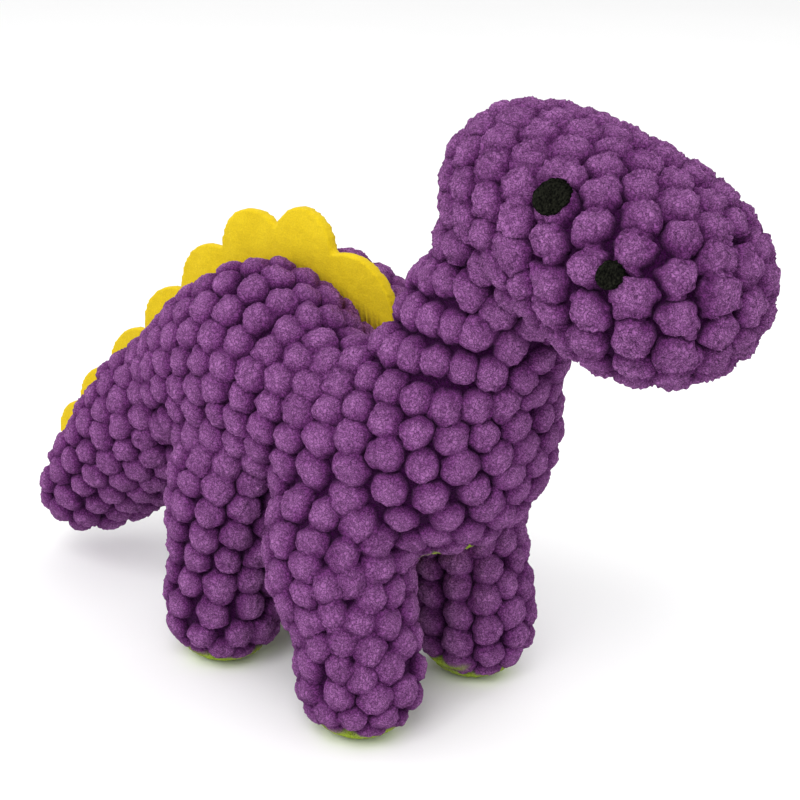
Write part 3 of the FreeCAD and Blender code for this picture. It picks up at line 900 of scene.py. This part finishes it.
class Nodes:
    """A material's shader nodes, with a short way to add and join them."""

    def __init__(self, name):
        self.material = bpy.data.materials.new(name)
        self.material.use_nodes = True
        self.tree = self.material.node_tree
        self.shader = self.tree.nodes["Principled BSDF"]

    def add(self, kind, **settings):
        """A new shader node with these settings."""
        node = self.tree.nodes.new("ShaderNode" + kind)
        for key, value in settings.items():
            setattr(node, key, value)
        return node

    def join(self, source, target):
        """Link an output to an input."""
        self.tree.links.new(source, target)

    def places(self):
        """Each point's place on the object."""
        return self.add("TexCoord").outputs["Object"]

    def noise(self, scale, detail=4, roughness=0.6):
        """Cloudy noise from 0 to 1."""
        node = self.add("TexNoise")
        node.inputs["Scale"].default_value = scale
        node.inputs["Detail"].default_value = detail
        node.inputs["Roughness"].default_value = roughness
        self.join(self.places(), node.inputs["Vector"])
        return node.outputs["Fac"]

    def cells(self, scale, swirl):
        """How far each place is from the edge of its own small swirled cell, like a loop of yarn."""
        stir = self.add("TexNoise")
        stir.inputs["Scale"].default_value = scale * 0.8
        stir.inputs["Detail"].default_value = 3
        self.join(self.places(), stir.inputs["Vector"])
        shift = self.add("VectorMath", operation="MULTIPLY_ADD")
        shift.inputs[1].default_value = (swirl / scale,) * 3
        self.join(stir.outputs["Color"], shift.inputs[0])
        self.join(self.places(), shift.inputs[2])
        node = self.add("TexVoronoi", feature="DISTANCE_TO_EDGE")
        node.inputs["Scale"].default_value = scale
        self.join(shift.outputs["Vector"], node.inputs["Vector"])
        return node.outputs["Distance"]

    def ramp(self, source, *stops):
        """A colour for each level of the source, from (level, colour) stops."""
        node = self.add("ValToRGB")
        elements = node.color_ramp.elements
        while len(elements) < len(stops):
            elements.new(0.5)
        for element, (place, colour) in zip(elements, stops):
            element.position = place
            element.color = (*colour, 1)
        self.join(source, node.inputs["Fac"])
        return node.outputs["Color"]

    def mix(self, share, first, second):
        """The first colour turned into the second by a share."""
        node = self.add("Mix", data_type="RGBA")
        for source, target in zip((share, first, second), (0, 6, 7)):
            self.join(source, node.inputs[target])
        return node.outputs[2]

    def multiply(self, first, second):
        """Two colours multiplied together."""
        node = self.add("Mix", data_type="RGBA", blend_type="MULTIPLY")
        node.inputs[0].default_value = 1
        self.join(first, node.inputs[6])
        self.join(second, node.inputs[7])
        return node.outputs[2]

    def bump(self, height, distance, strength, below=None):
        """A normal roughened by a height, on top of the normal below if there is one."""
        node = self.add("Bump")
        node.inputs["Distance"].default_value = distance
        node.inputs["Strength"].default_value = strength
        self.join(height, node.inputs["Height"])
        if below is not None:
            self.join(below, node.inputs["Normal"])
        return node.outputs["Normal"]

    def finish(self, colour, normal=None, **levels):
        """Join the colour and normal to the shader, set its levels and return the material."""
        self.join(colour, self.shader.inputs["Base Color"])
        if normal is not None:
            self.join(normal, self.shader.inputs["Normal"])
        for name, value in levels.items():
            self.shader.inputs[name.replace("_", " ")].default_value = value
        return self.material


def plush_material():
    """Purple bobbles with painted shade in the gaps and painted light on their tops, with green fleece
    where the mesh says so.
    """
    made = Nodes("bobble_plush")
    pile = made.add("Attribute", attribute_name="pile").outputs["Fac"]
    fleece = made.add("Attribute", attribute_name="fleece").outputs["Fac"]
    # painted light and shade from the pile layer: darker in the gaps, lighter on the bobbles' tops
    purple = made.ramp(pile, (0.06, PURPLE_GAP_BASE_AND_SHADE), (0.45, PURPLE_PAINTED_SIDE_SHADE), (0.95, PURPLE_PAINTED_LIGHT_TOP))
    loops = made.cells(scale=950, swirl=3.0)
    # painted shade: the dark edges of the swirled cells darken the cracks between the yarn loops
    strands = made.ramp(
        loops, (0.0, (0.2, 0.13, 0.2)), (0.09, (0.85, 0.82, 0.85)), (0.3, (1.1, 1.12, 1.1))
    )
    blotches = made.noise(160, detail=3, roughness=0.5)
    worn = made.ramp(blotches, (0.3, (0.82, 0.78, 0.82)), (0.7, (1.12, 1.15, 1.12)))
    purple = made.multiply(made.multiply(purple, strands), worn)
    brushed = made.noise(1300, detail=4, roughness=0.7)
    green = made.ramp(brushed, (0.35, GREEN_DEEP), (0.65, GREEN_TOP))
    colour = made.mix(fleece, purple, green)
    fuzz = made.noise(2400, detail=3, roughness=0.7)
    normal = made.bump(fuzz, 0.5 * MM, 0.8, made.bump(loops, 0.9 * MM, 1.0))
    made.shader.inputs["Sheen Tint"].default_value = (0.8, 0.4, 0.85, 1)
    levels = {"Roughness": 0.95, "Specular_IOR_Level": 0.03}
    levels.update({"Sheen_Weight": 0.1, "Sheen_Roughness": 0.5})
    return made.finish(colour, normal, **levels)


def felt_material():
    """Matted yellow felt with short loose fibres."""
    made = Nodes("felt")
    clouds = made.noise(220, detail=5, roughness=0.6)
    cloudy = made.ramp(clouds, (0.3, FELT_DEEP), (0.7, FELT_TOP))
    threads = made.noise(2200, detail=5, roughness=0.8)
    fibres = made.ramp(threads, (0.35, (0.86, 0.84, 0.8)), (0.65, (1.08, 1.08, 1.08)))
    colour = made.multiply(cloudy, fibres)
    normal = made.bump(made.noise(1500, detail=5, roughness=0.75), 0.4 * MM, 0.6)
    levels = {"Roughness": 0.95, "Specular_IOR_Level": 0.05}
    levels.update({"Sheen_Weight": 0.05, "Sheen_Roughness": 0.5})
    return made.finish(colour, normal, **levels)


def thread_material():
    """Black embroidery thread."""
    made = Nodes("thread")
    strands = made.noise(1800, detail=4, roughness=0.7)
    colour = made.ramp(strands, (0.42, (0.001, 0.001, 0.001)), (0.7, (0.02, 0.021, 0.014)))
    normal = made.bump(made.noise(2600, detail=3, roughness=0.7), 0.4 * MM, 0.8)
    return made.finish(colour, normal, Roughness=0.9, Specular_IOR_Level=0.03)


def plain_material(name, deep, top, scale, roughness, depth):
    """A lightly mottled material for the parts inside."""
    made = Nodes(name)
    colour = made.ramp(made.noise(scale), (0.3, deep), (0.7, top))
    normal = made.bump(made.noise(scale * 3, detail=3), depth, 0.4)
    return made.finish(colour, normal, Roughness=roughness)


# -------------------- pieces of the skin


def region_numbers(centres):
    """Which piece of the skin each face belongs to, as its place in SKIN_PIECES."""
    number = SKIN_PIECES.index
    left = centres[:, 1] > 0
    ahead = centres[:, 0] > LEG_SPLIT
    along_neck = (centres - pivot("neck")) @ NECK_TURN
    regions = np.where(left, number("torso_skin_left"), number("torso_skin_right"))
    regions[along_neck > NECK_START] = number("neck_skin")
    heads = np.where(left, number("head_skin_left"), number("head_skin_right"))
    regions = np.where(along_neck > NECK_END, heads, regions)
    regions[centres[:, 0] < TAIL_START] = number("tail_skin")
    low = (centres[:, 2] < LEG_START) & (centres[:, 0] > TAIL_START)
    for leg in LEGS:
        own = (left == (pivot(leg)[1] > 0)) & (ahead == (pivot(leg)[0] > LEG_SPLIT))
        regions[low & own] = number(leg + "_skin")
    return regions


def cut_piece(name, chosen, verts, faces, normals, layers, material):
    """One piece of the skin as its own mesh, keeping the whole skin's normals."""
    used, numbers = np.unique(faces[chosen], return_inverse=True)
    mesh = new_mesh(name, verts[used], numbers.reshape(-1, 4))
    mesh.polygons.foreach_set("use_smooth", np.ones(len(mesh.polygons), bool))
    for layer, values in layers.items():
        attribute = mesh.attributes.new(layer, "FLOAT", "POINT")
        attribute.data.foreach_set("value", values[used].astype(np.float32))
    mesh.normals_split_custom_set_from_vertices(normals[used].tolist())
    mesh.materials.append(material)
    return placed(name, mesh)


def quad_array(mesh):
    """The mesh's quads."""
    values = np.empty(len(mesh.loops), int)
    mesh.loops.foreach_get("vertex_index", values)
    return values.reshape(-1, 4)


def build_skin(material):
    """The bobbled skin, cut into pieces along the bodies' borders."""
    base = build_base()
    inflate(base)
    points, verts, faces = bobble_centres(base)
    skin = BVHTree.FromPolygons(verts.tolist(), faces.tolist())
    points = filled_in(thinned(points, BOBBLE_NEAR), verts, BOBBLE_FAR)
    points = thinned(evened(points, verts, skin, EVEN_ROUNDS, EVEN_SHARE), BOBBLE_NEAREST)
    mesh = dense_copy(base, 2)
    pile, fleece, smooth_places = raise_bobbles(mesh, points)
    bpy.data.objects.remove(base)
    verts = vertex_array(mesh)
    normals = normal_array(mesh)
    quads = quad_array(mesh)
    regions = region_numbers(smooth_places[quads].mean(1))
    # the pile layer carries the painted light and shade to the plush material
    layers = {"pile": pile, "fleece": fleece}
    return {
        name: cut_piece(name, regions == number, verts, quads, normals, layers, material)
        for number, name in enumerate(SKIN_PIECES)
    }


def hang_skin(pieces):
    """Attach the torso's pieces to the torso, bake the other pieces in place, and hide the CAD parts
    that the skin covers.
    """
    for side in ("left", "right"):
        piece = pieces["torso_skin_" + side]
        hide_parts("torso_cover_" + side)
        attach(piece, "torso")
        head = pieces["head_skin_" + side]
        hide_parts("head_cover_" + side)
        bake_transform(head)
    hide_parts("torso_stuffing", "belly_panel")
    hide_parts("head_stuffing")
    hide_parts("neck_cover", "neck_stuffing")
    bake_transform(pieces["neck_skin"])
    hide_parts("tail_cover", "tail_stuffing")
    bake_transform(pieces["tail_skin"])
    for leg in LEGS:
        piece = pieces[leg + "_skin"]
        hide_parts(leg + "_cover", leg + "_stuffing", leg + "_sole")
        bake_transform(piece)
    for piece in pieces.values():
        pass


# -------------------- felt and embroidery


def felt_strip(node, body, outward, material, seed):
    """A felt strip: the CAD strip remeshed, softly waved, napped and tucked into the seam."""
    strip = placed(node.replace("spikes", "felt"), frame["nodes"][node].data.copy())
    remesh = strip.modifiers.new("Remesh", "REMESH")
    remesh.mode = "VOXEL"
    remesh.voxel_size = FELT_VOXEL
    bpy.context.view_layer.update()
    evaluated = strip.evaluated_get(bpy.context.evaluated_depsgraph_get())
    strip.data = bpy.data.meshes.new_from_object(evaluated)
    strip.modifiers.clear()
    places = vertex_array(strip.data)
    normals = normal_array(strip.data)
    wave = rough(places * [1, 0, 1], FELT_WAVE_LENGTH, seed) * FELT_WAVE
    nap = rough(places, FELT_NAP_SIZE, seed + 1) * FELT_NAP
    buried = normals @ outward < -0.5
    places = places + normals * nap[:, None] - outward * (buried * FELT_TUCK)[:, None]
    places[:, 1] += wave
    strip.data.vertices.foreach_set("co", places.ravel())
    strip.data.polygons.foreach_set("use_smooth", np.ones(len(strip.data.polygons), bool))
    strip.data.materials.clear()
    strip.data.materials.append(material)
    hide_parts(node)
    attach(strip, body)


def bellows_piece(material):
    """The squeaker's bellows as its own mesh, attached to the torso."""
    mesh = frame["nodes"]["squeaker_bellows"].data.copy()
    mesh.materials.clear()
    mesh.materials.append(material)
    bellows = placed("squeaker_bellows_folds", mesh)
    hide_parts("squeaker_bellows")
    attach(bellows, "torso")
    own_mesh(bellows)


def patch_grid(radius, seed):
    """Rings of places in a ragged round outline, each as across, up and its ring's number.

    The last rings share the outline: the outermost one is the edge that is tucked in.
    """
    grid = []
    for ring in range(PATCH_RINGS + 1):
        for spoke in range(PATCH_SPOKES):
            angle = spoke * math.tau / PATCH_SPOKES
            across, up = math.cos(angle), math.sin(angle)
            wave = noise.noise(Vector((across * PATCH_WAVES, up * PATCH_WAVES, seed)))
            ragged = 1 + PATCH_RAGGED * wave
            reach = radius * ragged * min(ring / (PATCH_RINGS - 2), 1)
            grid.append((reach * across, reach * up, ring))
    return np.array(grid)


def patch_faces(flipped):
    """The quads between a patch's rings."""
    faces = []
    for ring in range(PATCH_RINGS):
        inner, outer = ring * PATCH_SPOKES, (ring + 1) * PATCH_SPOKES
        for spoke in range(PATCH_SPOKES):
            after = (spoke + 1) % PATCH_SPOKES
            quad = [inner + spoke, inner + after, outer + after, outer + spoke]
            faces.append(quad[::-1] if flipped else quad)
    return np.array(faces)


def stitched_patch(node, material, seed):
    """A satin-stitched oval: raised threads running up and down, with a ragged edge."""
    low, high = node_box(node)
    side = 1 if low[1] > 0 else -1
    middle = (low + high) / 2
    radius = (high[2] - low[2]) / 2
    tree = BVHTree.FromObject(frame["nodes"][node], bpy.context.evaluated_depsgraph_get())
    grid = patch_grid(radius, seed)
    thread = 0.5 + 0.5 * np.cos(grid[:, 0] / THREAD_PITCH * math.tau)
    away = np.hypot(grid[:, 0], grid[:, 1]) / (radius * 1.08)
    stand = PATCH_DOME * np.sqrt(np.clip(1 - away ** 2, 0, 1)) + THREAD_RISE * thread
    stand[grid[:, 2] > PATCH_RINGS - 2] = -PATCH_TUCK
    places = []
    for (across, up, _), height in zip(grid, stand):
        start = Vector((middle[0] + across, side * BESIDE_TOY, middle[2] + up))
        hit, _, _, _ = tree.ray_cast(start, Vector((0, -side, 0)))
        if hit is None:
            beside = Vector((start.x, middle[1], start.z))
            hit = Vector((start.x, tree.find_nearest(beside)[0].y, start.z))
        places.append(hit + Vector((0, side, 0)) * (height + PATCH_RAISE))
    mesh = new_mesh(node + "_stitching", np.array(places), patch_faces(side > 0))
    mesh.polygons.foreach_set("use_smooth", np.ones(len(mesh.polygons), bool))
    mesh.materials.append(material)
    patch = placed(node + "_stitching", mesh)
    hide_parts(node)
    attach(patch, "head")


# -------------------- stage


def area_light(name, place, size, power):
    """A soft square lamp aimed at the toy."""
    lamp = bpy.data.lights.new(name, "AREA")
    lamp.shape = "SQUARE"
    lamp.size = size
    lamp.energy = power
    holder = placed(name, lamp)
    holder.location = place
    holder.rotation_mode = "QUATERNION"
    holder.rotation_quaternion = (Vector(place) - Vector(AIM)).to_track_quat("Z", "Y")


def build_floor():
    """A plain pale floor just under the feet."""
    half = FLOOR_HALF
    corners = np.array([(-half, -half, 0), (half, -half, 0), (half, half, 0), (-half, half, 0)], float)
    mesh = new_mesh("floor", corners, np.array([(0, 1, 2, 3)]))
    floor = placed("floor", mesh)
    floor.location.z = cad_low[2] - FLOOR_GAP
    pale = Nodes("floor")
    clouds = pale.noise(3, detail=3, roughness=0.5)
    grain = pale.ramp(clouds, (0.3, (0.93, 0.93, 0.93)), (0.7, (0.95, 0.95, 0.95)))
    mesh.materials.append(pale.finish(grain, Roughness=0.9))


def build_lighting():
    """Soft lamps and an even white sky, with colours shown as they are."""
    world = bpy.data.worlds.new("sky")
    world.use_nodes = True
    background = world.node_tree.nodes["Background"]
    background.inputs["Color"].default_value = (1, 1, 1, 1)
    background.inputs["Strength"].default_value = SKY_LEVEL
    bpy.context.scene.world = world
    bpy.context.scene.view_settings.view_transform = "Standard"
    area_light("key", (0.35, -0.75, 0.95), 0.7, KEY_POWER)
    area_light("fill", (-0.8, -0.5, 0.5), 0.8, FILL_POWER)
    area_light("rim", (0.1, 0.9, 0.8), 0.7, FILL_POWER)


def build_camera():
    """The camera, in front of the toy on its right and a little above it."""
    camera = placed("camera", bpy.data.cameras.new("camera"))
    camera.data.lens = CAMERA_LENS
    camera.data.sensor_width = 36
    camera.data.clip_start = 0.01
    camera.data.clip_end = 20
    turn, lift = math.radians(CAMERA_AZIMUTH), math.radians(CAMERA_ELEVATION)
    level = Vector((math.sin(turn), -math.cos(turn), 0))
    back = level * math.cos(lift) + Vector((0, 0, math.sin(lift)))
    camera.location = Vector(AIM) + back * CAMERA_DISTANCE
    camera.rotation_mode = "QUATERNION"
    roll = Matrix.Rotation(math.radians(CAMERA_ROLL), 3, back).to_quaternion()
    camera.rotation_quaternion = roll @ (-back).to_track_quat("-Z", "Y")
    bpy.context.scene.camera = camera


# -------------------- build

hang_skin(build_skin(plush_material()))
felt = felt_material()
felt_strip("back_spikes", "torso", unit(np.array([-0.2, 0, 1])), felt, 1)
felt_strip("tail_spikes", "tail", unit(np.array([-0.7, 0, 0.75])), felt, 2)
vinyl = plain_material("squeaker_vinyl", (0.66, 0.64, 0.6), (0.72, 0.7, 0.66), 200, 0.5, 0.08 * MM)
bellows_piece(vinyl)
thread = thread_material()
for number, node in enumerate(FACE_NODES):
    stitched_patch(node, thread, number + 1)
plastic = plain_material(
    "squeaker_plastic", (0.78, 0.78, 0.76), (0.84, 0.84, 0.82), 300, 0.4, 0.05 * MM
)
film = plain_material("reed_film", (0.5, 0.52, 0.55), (0.6, 0.62, 0.65), 500, 0.3, 0.03 * MM)
carried_over = {
    "squeaker_base": plastic,
    "squeaker_cap": plastic,
    "squeaker_reed_tube": plastic,
    "squeaker_reed": film,
}
for node, material in carried_over.items():
    frame["nodes"][node].data.materials.clear()
    frame["nodes"][node].data.materials.append(material)

build_floor()
build_lighting()
build_camera()
